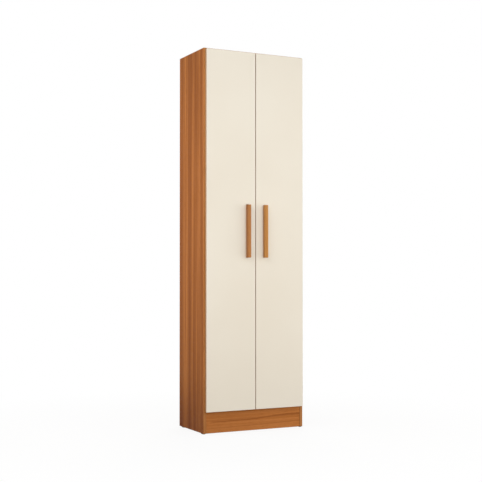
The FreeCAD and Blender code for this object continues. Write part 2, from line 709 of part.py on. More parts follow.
# Left door, drilled for the hinge cups, their screws and the handle's screws. The right one mirrors it.
DOOR_LEFT = f"(-{DOOR_EDGE})"
DOOR_WIDTH = f"({DOOR_EDGE} - Sizes.doors_gap / 2)"
CUP_MIDDLE = f"({DOOR_LEFT} + Sizes.cup_edge + Sizes.cup_radius)"
cup_screw_column = f"({CUP_MIDDLE} + Sizes.cup_screw_offset)"
cup_screw_points = [
    (cup_screw_column, f"({level} {sign} Sizes.cup_screw_pitch / 2)")
    for level in hinge_levels for sign in "+-"
]
HANDLE_MIDDLE = "(-Sizes.doors_gap / 2 - Sizes.handle_inset - Sizes.handle_width / 2)"
handle_screw_levels = [
    f"(Sizes.handle_bottom + (Sizes.handle_length {sign} Sizes.handle_screw_pitch) / 2)" for sign in "-+"
]
door_bores = [
    bore((CUP_MIDDLE, DOOR_BACK, level), "-y", "Sizes.cup_radius", "Sizes.cup_depth")
    for level in hinge_levels
]
door_bores += [
    bore((x, DOOR_BACK, z), "-y", "Sizes.screw_radius", "Sizes.screw_length") for x, z in cup_screw_points
]
door_bores += [
    bore((HANDLE_MIDDLE, DOOR_BACK, level), "-y", "Sizes.handle_screw_radius",
         "Sizes.door_thickness + Sizes.overrun")
    for level in handle_screw_levels
]
pair("door", cut(
    "left_door_drilled",
    board("left_door", (DOOR_LEFT, DOOR_FACE, DOOR_LOW),
          (DOOR_WIDTH, "Sizes.door_thickness", f"{DOOR_HIGH} - {DOOR_LOW}")),
    door_bores,
))

# Bumpers on the door's back, opposite the front edges of the top and bottom panel.
BUMPER_HEIGHT = "(Sizes.door_gap - Sizes.bumper_play)"
bumper = turned("bumper", [
    ("0", "0"), ("Sizes.bumper_radius", "0"), ("Sizes.bumper_radius", f"{BUMPER_HEIGHT} / 2"),
    (f"Sizes.bumper_radius - {BUMPER_HEIGHT} / 2", BUMPER_HEIGHT), ("0", BUMPER_HEIGHT),
])
bumper_levels = (
    f"({BASE_UNDER} + (Sizes.board + Sizes.door_lift) / 2)", f"({TOP} - (Sizes.board + Sizes.door_drop) / 2)"
)
bumper_column = "(-Sizes.doors_gap / 2 - Sizes.bumper_inset)"
pair("door_bumpers", copies("left_door_bumpers", bumper, [
    ((bumper_column, DOOR_BACK, level), "+y") for level in bumper_levels
]))

# Handle: a bar with its flanks cut under towards the door for the fingers.
FACE_HALF = "Sizes.handle_width / 2"
WAIST_HALF = "Sizes.handle_waist / 2"
handle_body = doc.addObject("PartDesign::Body", "handle")
handle_section = outline(handle_body, "XY_Plane", [
    (WAIST_HALF, "0"), (FACE_HALF, "-Sizes.handle_flank"), (FACE_HALF, "-Sizes.handle_depth"),
    (f"-{FACE_HALF}", "-Sizes.handle_depth"), (f"-{FACE_HALF}", "-Sizes.handle_flank"),
    (f"-{WAIST_HALF}", "0"),
])
handle_bar = handle_body.newObject("PartDesign::Pad", "handle_bar")
handle_bar.Profile = handle_section
handle_bar.setExpression("Length", "Sizes.handle_length")
rounded(handle_body, handle_bar, lambda box: box.YMax < -sheet.get("handle_flank"), "Sizes.handle_round")
place(handle_body, (HANDLE_MIDDLE, DOOR_FACE, "Sizes.handle_bottom"))
pair("handle", cut("left_handle_drilled", handle_body, [
    bore((HANDLE_MIDDLE, DOOR_FACE, level), "-y", "Sizes.handle_screw_radius",
         "Sizes.handle_screw_depth + Sizes.bore_end_play")
    for level in handle_screw_levels
]))
handle_screw = fastener("handle_screw", "Sizes.handle_screw_radius",
                        "(Sizes.door_thickness + Sizes.handle_screw_depth)", "Sizes.handle_screw_head",
                        "Sizes.handle_screw_head_radius")
pair("handle_screws", copies("left_handle_screws", handle_screw, [
    ((HANDLE_MIDDLE, DOOR_BACK, level), "+y") for level in handle_screw_levels
]))


def on_hinges(name, master):
    """Nodes of a piece, drawn in place at floor level, at each hinge of the left door and of the right one."""
    fitted = gather(f"{name}_fitted", [master])
    pair(name, copies(f"left_{name}", fitted, [(("0", "0", level), "+z") for level in hinge_levels]))


# Hinge cup: a steel cup with two ears on the door's back and two lugs inside for the pin.
PIVOT_X = f"({DOOR_LEFT} + Sizes.pivot_inset)"
PIVOT_Y = f"({DOOR_BACK} - Sizes.pivot_depth)"
CUP_BOTTOM = f"({DOOR_BACK} - Sizes.cup_depth)"
CUP_FLOOR = f"({CUP_BOTTOM} + Sizes.cup_wall)"
CUP_INSIDE = "(Sizes.cup_radius - Sizes.cup_wall)"
LUG_INSIDE = "(Sizes.hinge_eye_width / 2 + Sizes.hinge_side_play)"
PIN_HALF = f"({LUG_INSIDE} + Sizes.hinge_lug)"
EYE_RADIUS = "(Sizes.hinge_pin_radius + Sizes.hinge_eye_wall)"
cup_can = rod("cup_can", (CUP_MIDDLE, CUP_BOTTOM, "0"), "+y", "Sizes.cup_radius", "Sizes.cup_depth")
cup_ears = block("cup_ears", (f"({CUP_MIDDLE} - Sizes.cup_flange_width / 2)", DOOR_BACK,
                              "-Sizes.cup_flange_length / 2"),
                 ("Sizes.cup_flange_width", "Sizes.cup_flange", "Sizes.cup_flange_length"))
cup_hollow = rod("cup_hollow", (CUP_MIDDLE, CUP_FLOOR, "0"), "+y", CUP_INSIDE,
                 "Sizes.cup_depth + Sizes.overrun")
cup_shell = cut("cup_shell", fuse("cup_blank", cup_can, cup_ears), cup_hollow)
lug_blocks = [
    block("cup_lug", (f"({DOOR_LEFT} + Sizes.cup_edge)", CUP_BOTTOM, low),
          (f"{PIVOT_X} - {DOOR_LEFT} - Sizes.cup_edge + Sizes.hinge_lug_length",
           f"{PIVOT_Y} - {CUP_BOTTOM} + Sizes.hinge_lug_length", "Sizes.hinge_lug"))
    for low in (LUG_INSIDE, f"(-{PIN_HALF})")
]
cup_lugs = doc.addObject("Part::Common", "cup_lugs")
cup_lugs.Base = gather("cup_lug_blocks", lug_blocks)
cup_lugs.Tool = cup_can
cup_window = block("cup_window",
                   (f"({DOOR_LEFT} + Sizes.cup_edge - Sizes.overrun)", CUP_FLOOR, f"(-{LUG_INSIDE})"),
                   ("Sizes.overrun + Sizes.hinge_lug_length", "Sizes.cup_depth", f"2 * {LUG_INSIDE}"))
cup_pin_bore = rod("cup_pin_bore", (PIVOT_X, PIVOT_Y, f"(-{PIN_HALF} - Sizes.overrun)"), "+z",
                   "Sizes.hinge_pin_radius + Sizes.hinge_pin_fit", f"2 * ({PIN_HALF} + Sizes.overrun)")
cup_screw_bores = [
    bore((cup_screw_column, f"({DOOR_BACK} + Sizes.cup_flange)", f"({sign}Sizes.cup_screw_pitch / 2)"), "-y",
         "Sizes.screw_radius", "Sizes.cup_flange + Sizes.overrun")
    for sign in "+-"
]
hinge_cup = cut("hinge_cup", fuse("cup_with_lugs", cup_shell, cup_lugs),
                cup_window, cup_pin_bore, cup_screw_bores)
on_hinges("hinge_cups", hinge_cup)
on_hinges("hinge_pins", rod("hinge_pin", (PIVOT_X, PIVOT_Y, f"(-{PIN_HALF})"), "+z",
                            "Sizes.hinge_pin_radius", f"2 * {PIN_HALF}"))
on_hinges("hinge_springs", block(
    "hinge_spring", (f"({CUP_MIDDLE} - Sizes.spring_length / 2)", CUP_FLOOR, "-Sizes.spring_width / 2"),
    ("Sizes.spring_length", "Sizes.spring_thickness", "Sizes.spring_width")))
cup_screw = fastener("cup_screw", "Sizes.screw_radius", "Sizes.screw_length", "Sizes.screw_head",
                     "Sizes.screw_head_radius")
pair("cup_screws", copies("left_cup_screws", cup_screw, [
    ((x, f"({DOOR_BACK} + Sizes.cup_flange)", z), "+y") for x, z in cup_screw_points
]))

# Hinge arm: an eye on the pin, a neck out of the cup and a channel along the side.
ARM_FACE = f"({DOOR_LEFT} + Sizes.arm_inset)"
ARM_OUTSIDE = f"({ARM_FACE} + Sizes.arm_thickness)"
NECK_LOW = f"({PIVOT_Y} - {EYE_RADIUS})"
ARM_BACK = f"({FRONT} + Sizes.arm_start + Sizes.arm_length)"
EYE_LOW = "-Sizes.hinge_eye_width / 2"
ARM_LOW = "-Sizes.arm_width / 2"
PLATE_TOP = f"(-{INNER} + Sizes.plate_base)"
arm_eye = rod("arm_eye", (PIVOT_X, PIVOT_Y, EYE_LOW), "+z", EYE_RADIUS, "Sizes.hinge_eye_width")
arm_neck = block("arm_neck", (PIVOT_X, NECK_LOW, EYE_LOW),
                 (f"{ARM_OUTSIDE} - {PIVOT_X}", "Sizes.arm_thickness", "Sizes.hinge_eye_width"))
arm_riser = block("arm_riser", (ARM_FACE, NECK_LOW, EYE_LOW),
                  ("Sizes.arm_thickness", f"{ARM_BACK} - {NECK_LOW}", "Sizes.hinge_eye_width"))
arm_roof = block("arm_roof", (ARM_FACE, f"({FRONT} + Sizes.arm_start)", ARM_LOW),
                 ("Sizes.arm_thickness", "Sizes.arm_length", "Sizes.arm_width"))
arm_walls = [
    block("arm_wall", (f"({PLATE_TOP} + Sizes.arm_play)", f"({FRONT} + Sizes.arm_start)", low),
          (f"{ARM_OUTSIDE} - {PLATE_TOP} - Sizes.arm_play", "Sizes.arm_length", "Sizes.arm_wall"))
    for low in (ARM_LOW, "(Sizes.arm_width / 2 - Sizes.arm_wall)")
]
arm_pin_bore = rod("arm_pin_bore", (PIVOT_X, PIVOT_Y, f"({EYE_LOW} - Sizes.overrun)"), "+z",
                   "Sizes.hinge_pin_radius + Sizes.hinge_running_play",
                   "Sizes.hinge_eye_width + 2 * Sizes.overrun")
PLATE_MIDDLE = f"({FRONT} + Sizes.plate_start + Sizes.plate_length / 2)"
arm_screw_depths = [f"({PLATE_MIDDLE} {sign} Sizes.arm_screw_pitch / 2)" for sign in "-+"]
arm_screw_bores = [
    bore((ARM_OUTSIDE, depth, "0"), "-x",
         "Sizes.arm_screw_radius", "Sizes.arm_thickness + Sizes.arm_screw_depth")
    for depth in arm_screw_depths
]
hinge_arm = cut("hinge_arm", fuse("arm_blank", arm_eye, arm_neck, arm_riser, arm_roof, *arm_walls),
                arm_pin_bore, arm_screw_bores)
on_hinges("hinge_arms", hinge_arm)

# Hinge plate: two wings screwed to the side and a block that fills the arm's channel.
PLATE_HALF = "(Sizes.arm_width / 2 - Sizes.arm_wall - Sizes.arm_play)"
plate_wings = block("plate_wings", (f"(-{INNER})", f"({plate_screw_depth} - Sizes.plate_wing_width / 2)",
                                    "-Sizes.plate_wing_length / 2"),
                    ("Sizes.plate_base", "Sizes.plate_wing_width", "Sizes.plate_wing_length"))
plate_block = block("plate_block", (f"(-{INNER})", f"({FRONT} + Sizes.plate_start)", f"(-{PLATE_HALF})"),
                    (f"{ARM_FACE} + {INNER}", "Sizes.plate_length", f"2 * {PLATE_HALF}"))
plate_screw_bores = [
    bore((PLATE_TOP, plate_screw_depth, f"({sign}Sizes.plate_screw_pitch / 2)"), "-x", "Sizes.screw_radius",
         "Sizes.plate_base + Sizes.overrun")
    for sign in "+-"
]
hinge_plate = cut("hinge_plate", fuse("plate_blank", plate_wings, plate_block),
                  plate_screw_bores + arm_screw_bores)
on_hinges("hinge_plates", hinge_plate)
plate_screw = fastener("plate_screw", "Sizes.screw_radius", "Sizes.screw_length", "Sizes.screw_head",
                       "Sizes.screw_head_radius")
pair("plate_screws", copies("left_plate_screws", plate_screw, [
    ((PLATE_TOP, plate_screw_depth, level), "+x") for level in plate_screw_levels
]))
arm_screw = fastener("arm_screw", "Sizes.arm_screw_radius", "(Sizes.arm_thickness + Sizes.arm_screw_depth)",
                     "Sizes.arm_screw_head", "Sizes.arm_screw_head_radius")
pair("arm_screws", copies("left_arm_screws", arm_screw, [
    ((ARM_OUTSIDE, depth, level), "+x") for level in hinge_levels for depth in arm_screw_depths
]))

# Every object has to be sound before anything is written.
doc.recompute()
failed = [piece.Label for piece in doc.Objects if {"Invalid", "Error"} & set(piece.State)]
if failed:
    raise RuntimeError(f"objects that failed: {failed}")
for label, piece in NODES.items():
    if piece.Shape.isNull() or not piece.Shape.isValid():
        raise RuntimeError(f"{label} has no valid shape")

os.makedirs("parts", exist_ok=True)
for label, piece in NODES.items():
    piece.Shape.exportStep(f"parts/{label}.step")
    print(label, len(piece.Shape.Solids), round(piece.Shape.Volume))
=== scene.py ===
from math import pi, radians

import bmesh
import bpy
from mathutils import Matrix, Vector


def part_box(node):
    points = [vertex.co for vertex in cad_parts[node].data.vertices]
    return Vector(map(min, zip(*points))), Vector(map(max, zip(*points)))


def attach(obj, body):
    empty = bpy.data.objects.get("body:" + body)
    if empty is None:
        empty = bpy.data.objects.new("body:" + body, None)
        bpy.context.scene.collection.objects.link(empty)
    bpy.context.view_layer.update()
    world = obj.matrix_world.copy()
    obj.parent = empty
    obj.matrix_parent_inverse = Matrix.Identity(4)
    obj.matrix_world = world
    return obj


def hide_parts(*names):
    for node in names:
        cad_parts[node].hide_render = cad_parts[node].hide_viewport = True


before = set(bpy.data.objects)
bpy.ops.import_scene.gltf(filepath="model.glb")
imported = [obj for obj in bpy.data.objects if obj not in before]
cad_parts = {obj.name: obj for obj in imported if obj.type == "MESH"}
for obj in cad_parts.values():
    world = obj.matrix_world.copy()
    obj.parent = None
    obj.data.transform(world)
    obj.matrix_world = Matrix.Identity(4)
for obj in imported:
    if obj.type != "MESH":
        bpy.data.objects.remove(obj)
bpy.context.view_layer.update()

# Sides: two upright chipboard panels faced with a printed wood foil, the grain running up.
# A thin band of a lighter print is glued to the front and top edges; the rear and the foot stay raw.
# Cams and dowels tie the other boards between them.
WHOLE = (0.0, 1.0)
WIDE = (0.2, 0.8)
MEAN_LEVEL = 0.5
RELIEF_STRENGTH = 0.6


def tone(red, green, blue):
    """Linear colour of a tint that is given as it looks on a screen, from 0 to 255."""
    return (*(((c / 255 + 0.055) / 1.055) ** 2.4 for c in (red, green, blue)), 1)


def add(tree, kind, feed, **fields):
    """New node with its fields set and its inputs fed by values or by other nodes' outputs."""
    made = tree.nodes.new(kind)
    for field, value in fields.items():
        setattr(made, field, value)
    for key, value in feed.items():
        if isinstance(value, bpy.types.NodeSocket):
            tree.links.new(value, made.inputs[key])
        else:
            made.inputs[key].default_value = value
    return made


def calc(tree, operation, *values):
    """Sum, product or comparison of one to three values."""
    return add(tree, "ShaderNodeMath", dict(enumerate(values)), operation=operation).outputs[0]


def blend_tones(tree, share, first, second):
    """First colour where the share is 0, second where it is 1."""
    return add(tree, "ShaderNodeMix", {0: share, 6: first, 7: second}, data_type="RGBA").outputs[2]


def spread(tree, value, stretch, result=WHOLE):
    """A stretch of the value, drawn out smoothly to the stretch of the result."""
    low, high = stretch
    start, end = result
    feed = {"Value": value, "From Min": low, "From Max": high, "To Min": start, "To Max": end}
    return add(tree, "ShaderNodeMapRange", feed, interpolation_type="SMOOTHSTEP").outputs["Result"]


def object_place(tree):
    """Place on the piece, in the cupboard's own frame."""
    return add(tree, "ShaderNodeTexCoord", {}).outputs["Object"]


def coordinates(tree):
    """The same place as separate X, Y and Z."""
    return add(tree, "ShaderNodeSeparateXYZ", {0: object_place(tree)}).outputs


def cloud(tree, place, scale, detail=2.0, roughness=0.5, output="Fac"):
    """Cloudy pattern, finer as its scale grows."""
    feed = {"Vector": place, "Scale": scale, "Detail": detail, "Roughness": roughness}
    return add(tree, "ShaderNodeTexNoise", feed).outputs[output]


def drawn_out(tree, place, run, squeeze):
    """Place with one axis squeezed, so that a pattern on it is drawn out along that axis."""
    scale = [squeeze if axis == run else 1 for axis in "xyz"]
    return add(tree, "ShaderNodeMapping", {"Vector": place, "Scale": scale}).outputs["Vector"]


def new_finish(name, shader):
    """Material with the shader's constant inputs set. Gives the material, its tree and its shader."""
    finish = bpy.data.materials.new(name)
    finish.use_nodes = True
    made = finish.node_tree.nodes["Principled BSDF"]
    for key, value in shader.items():
        made.inputs[key].default_value = value
    return finish, finish.node_tree, made


def feed_shader(tree, shader, colour, roughness, height, depth):
    """Links the shader to its colour and roughness, and to a relief of the given depth."""
    relief = {"Height": height, "Distance": depth, "Strength": RELIEF_STRENGTH}
    relief = add(tree, "ShaderNodeBump", relief).outputs["Normal"]
    for key, source in (("Base Color", colour), ("Roughness", roughness), ("Normal", relief)):
        tree.links.new(source, shader.inputs[key])


GRAIN_WANDER = (0.012, 0.012, 0.012)
BAND_SHARE = 0.62
STREAK_SHARE = 0.38
PRINT_STRETCH = (0.39, 0.59)
RING_WIDTH = 0.03
RING_DARKNESS = 0.4
PORE_STRETCH = (0.56, 0.7)
PORE_DARKNESS = 0.35
PORE_DEPTH = 0.00005


def printed_wood(tree, run, light, dark, vein, figure=0.0, cut=(0, 0, 0)):
    """Colour and pores of the wood print: broad bands, narrow streaks and short pores along the grain.

    The figure is the share of dark vein, and of painted shade, that a board has besides.
    The cut is where on the printed roll the board lies.
    """
    place = object_place(tree)
    drift = {0: cloud(tree, place, scale=1.7, detail=1.0, output="Color"), 1: GRAIN_WANDER, 2: cut}
    drift = add(tree, "ShaderNodeVectorMath", drift, operation="MULTIPLY_ADD").outputs[0]
    place = add(tree, "ShaderNodeVectorMath", {0: place, 1: drift}, operation="ADD").outputs[0]

    def along_grain(squeeze, **pattern):
        return cloud(tree, drawn_out(tree, place, run, squeeze), **pattern)

    bands = along_grain(squeeze=0.012, scale=32, detail=3, roughness=0.6)
    streaks = along_grain(squeeze=0.006, scale=120, detail=3, roughness=0.6)
    pores = along_grain(squeeze=0.035, scale=850, detail=1)
    rings = along_grain(squeeze=0.016, scale=15, detail=1)
    rings = calc(tree, "ABSOLUTE", calc(tree, "SUBTRACT", rings, MEAN_LEVEL))
    rings = spread(tree, rings, (0.0, RING_WIDTH), (RING_DARKNESS, 0.0))
    bands = calc(tree, "MULTIPLY", bands, BAND_SHARE)
    mixed = calc(tree, "ADD", bands, calc(tree, "MULTIPLY", streaks, STREAK_SHARE))
    colour = blend_tones(tree, spread(tree, mixed, PRINT_STRETCH), dark, light)
    colour = blend_tones(tree, calc(tree, "MAXIMUM", rings, figure), colour, vein)
    pores = spread(tree, pores, PORE_STRETCH)
    colour = blend_tones(tree, calc(tree, "MULTIPLY", pores, PORE_DARKNESS), colour, vein)
    return colour, pores


CHIP_SHARE = 0.7
DUST_SHARE = 0.3
CHIP_TONES = (tone(142, 104, 62), tone(214, 182, 136))


def chipboard(tree):
    """Colour of pressed wood chips, as a sawn edge shows them."""
    place = object_place(tree)
    chips = add(tree, "ShaderNodeTexVoronoi", {"Vector": place, "Scale": 520}).outputs["Color"]
    chips = add(tree, "ShaderNodeSeparateColor", {"Color": chips}).outputs[0]
    dust = calc(tree, "MULTIPLY", cloud(tree, place, scale=1500), DUST_SHARE)
    return blend_tones(tree, calc(tree, "MULTIPLY_ADD", chips, CHIP_SHARE, dust), *CHIP_TONES)


def within(tree, coordinate, level, width):
    """1 where the coordinate lies closer than width to the level."""
    gap = calc(tree, "ABSOLUTE", calc(tree, "SUBTRACT", coordinate, level))
    return calc(tree, "LESS_THAN", gap, width)


BAND = 0.0006
GLUE_LINE = 0.00016
GLUE_TONE = tone(70, 45, 28)
GLUE_DARKNESS = 0.45
FRONT_EDGE = ("y", 0)
REAR_EDGE = ("y", 1)
LOWER_EDGE = ("z", 0)
UPPER_EDGE = ("z", 1)


def banded_board(tree, node, face, band, banded, raw):
    """Face colour with a band and its glue line on each banded edge, and bare chips on each raw one.

    An edge is an axis and the end of the board on it, 0 for the low one and 1 for the high one.
    Gives the colour and the share of raw edge.
    """
    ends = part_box(node)
    parts = coordinates(tree)
    for axis, end in banded:
        number = "xyz".index(axis)
        level = ends[end][number]
        line = within(tree, parts[number], level, BAND + GLUE_LINE)
        face = blend_tones(tree, calc(tree, "MULTIPLY", line, GLUE_DARKNESS), face, GLUE_TONE)
        face = blend_tones(tree, within(tree, parts[number], level, BAND), face, band)
    bare = 0.0
    for axis, end in raw:
        number = "xyz".index(axis)
        bare = calc(tree, "MAXIMUM", bare, within(tree, parts[number], ends[end][number], BAND))
    return blend_tones(tree, bare, face, chipboard(tree)), bare


def dress(node, finish):
    """Gives a CAD node its finish."""
    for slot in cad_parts[node].material_slots:
        slot.material = finish


SIDE_TONES = (tone(190, 119, 61), tone(157, 91, 38), tone(122, 62, 21))
BAND_TONES = (tone(208, 146, 89), tone(181, 119, 64), tone(130, 76, 34))
PRINT_GLOSS = 0.06
PRINT_ROUGHNESS = (0.48, 0.58)
RAW_ROUGHNESS = 0.95


def wood_board(node, run, banded, raw, tones=SIDE_TONES, figure=None, cut=(0, 0, 0)):
    """Board with the wood print, its grain along the axis that it runs on."""
    finish, tree, shader = new_finish(f"{node}_print", {"Specular IOR Level": PRINT_GLOSS})
    # The figure can carry painted shade as well as dark vein, and it darkens the bands too.
    figure_and_painted_shade = figure(tree) if figure else 0.0
    face, pores = printed_wood(tree, run, *tones, figure_and_painted_shade, cut)
    band, _ = printed_wood(tree, run, *BAND_TONES, figure_and_painted_shade)
    colour, bare = banded_board(tree, node, face, band, banded, raw)
    sheen = spread(tree, cloud(tree, object_place(tree), scale=60), WIDE, PRINT_ROUGHNESS)
    roughness = calc(tree, "MAXIMUM", sheen, calc(tree, "MULTIPLY", bare, RAW_ROUGHNESS))
    feed_shader(tree, shader, colour, roughness, calc(tree, "SUBTRACT", 1.0, pores), PORE_DEPTH)
    dress(node, finish)


SIDE_CUT = (0, 0.4, 0)
# Painted shade: the print of each side darkens towards its foot, up to this height.
SHADED_FOOT_HEIGHT = 0.3
FOOT_PAINTED_SHADE = 0.45
VEIN_SWAY = 0.012
VEINS = (
    (0.08, 0.02, (0.2, 0.25, 0.25)),
    (0.35, 0.02, (0.3, 0.1, 0.45)),
    (0.57, 0.036, (0.5, 0.55, 0.5)),
    (0.93, 0.05, (0.55, 0.65, 0.3)),
)


def veins_and_painted_foot_shade(tree):
    """Soft dark stripes up the board, and painted shade that darkens its foot.

    Each stripe has its share of the depth, its reach, and its strengths at the foot, half way
    and at the top.
    """
    low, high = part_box("left_side")
    half_way = (low.z + high.z) / 2
    parts = coordinates(tree)
    sway = cloud(tree, drawn_out(tree, object_place(tree), "z", squeeze=0.1), scale=12)
    sway = calc(tree, "MULTIPLY_ADD", calc(tree, "SUBTRACT", sway, MEAN_LEVEL), VEIN_SWAY, parts["Y"])
    # Painted shade at the foot, to which the dark stripes are then added.
    dark = spread(tree, parts["Z"], (low.z, SHADED_FOOT_HEIGHT), (FOOT_PAINTED_SHADE, 0.0))
    for share, reach, (foot, middle, top) in VEINS:
        line = low.y + share * (high.y - low.y)
        gap = calc(tree, "ABSOLUTE", calc(tree, "SUBTRACT", sway, line))
        lower = spread(tree, parts["Z"], (low.z, half_way), (foot - middle, 0.0))
        upper = spread(tree, parts["Z"], (half_way, high.z), (middle, top))
        strength = calc(tree, "ADD", lower, upper)
        dark = calc(tree, "MULTIPLY_ADD", spread(tree, gap, (0.0, reach), (1.0, 0.0)), strength, dark)
    return dark


for node in ("left_side", "right_side"):
    wood_board(node, "z", [FRONT_EDGE, UPPER_EDGE], [REAR_EDGE, LOWER_EDGE],
               figure=veins_and_painted_foot_shade, cut=SIDE_CUT)

# Top panel: the same board with its grain along the width, drawn tight between the sides by cams.
# Only its front edge is banded, since the back sheet covers the rear one.
wood_board("top_panel", "x", [FRONT_EDGE], [REAR_EDGE])

# Plinths: two boards on edge under the bottom panel, their grain along the width, dowelled to the sides.
# The front one shows a long dark figure in the print that climbs to the right, and painted shade that
# darkens it towards its left end.
PLINTH_TONES = (tone(193, 123, 65), tone(175, 106, 50), tone(124, 65, 24))
FIGURE_START_SHARE = 0.53
FIGURE_END_SHARE = 0.66
FIGURE_WIDTH = 0.0065
FIGURE_WOBBLE = 0.005
FIGURE_DARKNESS = 0.6
CLIMB_START_SHARE = 0.3
CLIMB_END_SHARE = 0.75
FADE_IN_SHARE = 0.8
LEFT_PAINTED_SHADE = 0.16


def climbing_figure_and_left_shade(tree):
    """Dark where the height is close to a line that climbs from left to right, plus painted shade to the
    left.
    """
    low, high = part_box("front_plinth")
    parts = coordinates(tree)
    levels = [low.z + share * (high.z - low.z) for share in (FIGURE_START_SHARE, FIGURE_END_SHARE)]
    line = spread(tree, parts["X"], (low.x * CLIMB_START_SHARE, high.x * CLIMB_END_SHARE), levels)
    gap = calc(tree, "SUBTRACT", parts["Z"], line)
    wobble = cloud(tree, drawn_out(tree, object_place(tree), "x", squeeze=0.2), scale=40)
    gap = calc(tree, "MULTIPLY_ADD", calc(tree, "SUBTRACT", wobble, MEAN_LEVEL), FIGURE_WOBBLE, gap)
    figure = spread(tree, calc(tree, "ABSOLUTE", gap), (0.0, FIGURE_WIDTH), (FIGURE_DARKNESS, 0.0))
    fade = spread(tree, parts["X"], (low.x, low.x * FADE_IN_SHARE))
    # Painted shade, darkest at the left end and gone at the right end.
    left = spread(tree, parts["X"], (low.x, high.x), (LEFT_PAINTED_SHADE, 0.0))
    return calc(tree, "MAXIMUM", calc(tree, "MULTIPLY", figure, fade), left)


wood_board("front_plinth", "x", [UPPER_EDGE], [LOWER_EDGE], PLINTH_TONES, climbing_figure_and_left_shade)
wood_board("rear_plinth", "x", [UPPER_EDGE], [LOWER_EDGE], PLINTH_TONES)

# Bottom panel, fixed shelf, divider and loose shelves: chipboard faced with off-white melamine.
# Front edges have a band of the same white; rear edges stay raw.
# Cams and dowels hold the first two, dowels the divider, and the loose shelves lie on pins.
MIDDLE = (0.3, 0.7)
WHITE_TONES = (tone(232, 228, 219), tone(238, 235, 228))
WHITE_GLOSS = 0.4
WHITE_ROUGHNESS = (0.36, 0.46)
PEARL_TONE = tone(220, 214, 203)
PEARL_STRETCH = (0.55, 0.8)
PEARL_SHARE = 0.25
PEARL_DEPTH = 0.00002


def white_board(node):
    finish, tree, shader = new_finish(f"{node}_melamine", {"Specular IOR Level": WHITE_GLOSS})
    place = object_place(tree)
    face = blend_tones(tree, spread(tree, cloud(tree, place, scale=5), MIDDLE), *WHITE_TONES)
    pearl = cloud(tree, place, scale=1300, detail=1)
    face = blend_tones(tree, spread(tree, pearl, PEARL_STRETCH, (0.0, PEARL_SHARE)), face, PEARL_TONE)
    colour, bare = banded_board(tree, node, face, face, [FRONT_EDGE], [REAR_EDGE])
    sheen = spread(tree, pearl, MIDDLE, WHITE_ROUGHNESS)
    roughness = calc(tree, "MAXIMUM", sheen, calc(tree, "MULTIPLY", bare, RAW_ROUGHNESS))
    feed_shader(tree, shader, colour, roughness, pearl, PEARL_DEPTH)
    dress(node, finish)


for node in ("bottom_panel", "fixed_shelf", "divider", "lower_shelf", "middle_shelf", "upper_shelf"):
    white_board(node)

# Cams and bolts: cast drums let into the panels from below, and turned bolts screwed into the sides.
# Both are zinc-plated. Turning a drum pulls its bolt in and draws the panel tight to the side.
PATCH_ROUGHNESS = 0.06
MARK_ROUGHNESS = 0.08
MARK_DEPTH = 0.000004


def plated(name, colour, shade, rough, patch):
    """Plated steel with a faint cloudiness and fine drawing marks."""
    finish, tree, shader = new_finish(name, {"Metallic": 1.0})
    place = object_place(tree)
    cast = cloud(tree, place, patch)
    marks = cloud(tree, drawn_out(tree, place, "y", squeeze=0.08), scale=2600, detail=1)
    face = blend_tones(tree, spread(tree, cast, WIDE), shade, colour)
    patches = spread(tree, cast, WIDE, (rough, rough + PATCH_ROUGHNESS))
    roughness = calc(tree, "MULTIPLY_ADD", marks, MARK_ROUGHNESS, patches)
    feed_shader(tree, shader, face, roughness, marks, MARK_DEPTH)
    return finish


zinc = plated("zinc_plate", tone(206, 208, 208), tone(186, 190, 191), rough=0.32, patch=160)
for node in ("cam_nuts", "cam_bolts"):
    dress(node, zinc)

# Dowels: turned pegs of raw beech with chamfered ends, glued into both boards where they meet.
# They keep panels, plinths and divider in line while the cams draw the carcass tight.
BEECH_TONES = (tone(214, 178, 132), tone(196, 156, 108), tone(168, 124, 80))
BEECH_GLOSS = 0.3
BEECH_ROUGHNESS = (0.62, 0.72)


def solid_wood(name, run, tones, gloss, roughness, depth):
    """Wood with its pores sunk to the given depth."""
    finish, tree, shader = new_finish(name, {"Specular IOR Level": gloss})
    face, pores = printed_wood(tree, run, *tones)
    rough = spread(tree, pores, WHOLE, roughness)
    feed_shader(tree, shader, face, rough, calc(tree, "SUBTRACT", 1.0, pores), depth)
    return finish


beech = solid_wood("beech", "x", BEECH_TONES, BEECH_GLOSS, BEECH_ROUGHNESS, PORE_DEPTH)
for node in ("side_dowels", "divider_dowels"):
    dress(node, beech)

# Shelf pins: moulded pegs of white plastic with a collar, pushed into the drilled rows of the right bay.
# Four carry each loose shelf, which can be moved to other holes.
PLASTIC_GLOSS = 0.45
SPARK_ROUGHNESS = 0.1
SPARK_DEPTH = 0.00002


def moulded(name, colour, shade, rough):
    """Moulded plastic with a fine spark-eroded surface."""
    finish, tree, shader = new_finish(name, {"Specular IOR Level": PLASTIC_GLOSS})
    place = object_place(tree)
    face = blend_tones(tree, spread(tree, cloud(tree, place, scale=90), MIDDLE), shade, colour)
    spark = cloud(tree, place, scale=2400, detail=1)
    roughness = spread(tree, spark, MIDDLE, (rough, rough + SPARK_ROUGHNESS))
    feed_shader(tree, shader, face, roughness, spark, SPARK_DEPTH)
    return finish


white_plastic = moulded("white_plastic", tone(236, 234, 228), tone(226, 223, 215), rough=0.42)
dress("shelf_pins", white_plastic)

# Back: three sheets of thin hardboard, painted white inside and left as pressed behind.
# They lie on the rear edges of the carcass and stiffen it.
HARDBOARD_GLOSS = 0.25
FIBRE_TONES = (tone(132, 92, 59), tone(162, 118, 78))
FIBRE_STRETCH = (0.25, 0.75)
FIBRE_DEPTH = 0.00004
FIBRE_ROUGHNESS = 0.8
BLOTCH_TONE = tone(140, 98, 62)
BLOTCH_STRETCH = (0.35, 0.75)
BLOTCH_SHARE = 0.3
PAINT_TONES = (tone(230, 226, 217), tone(236, 233, 226))
PAINT_ROUGHNESS = 0.45
PAINT_REACH = 0.0003


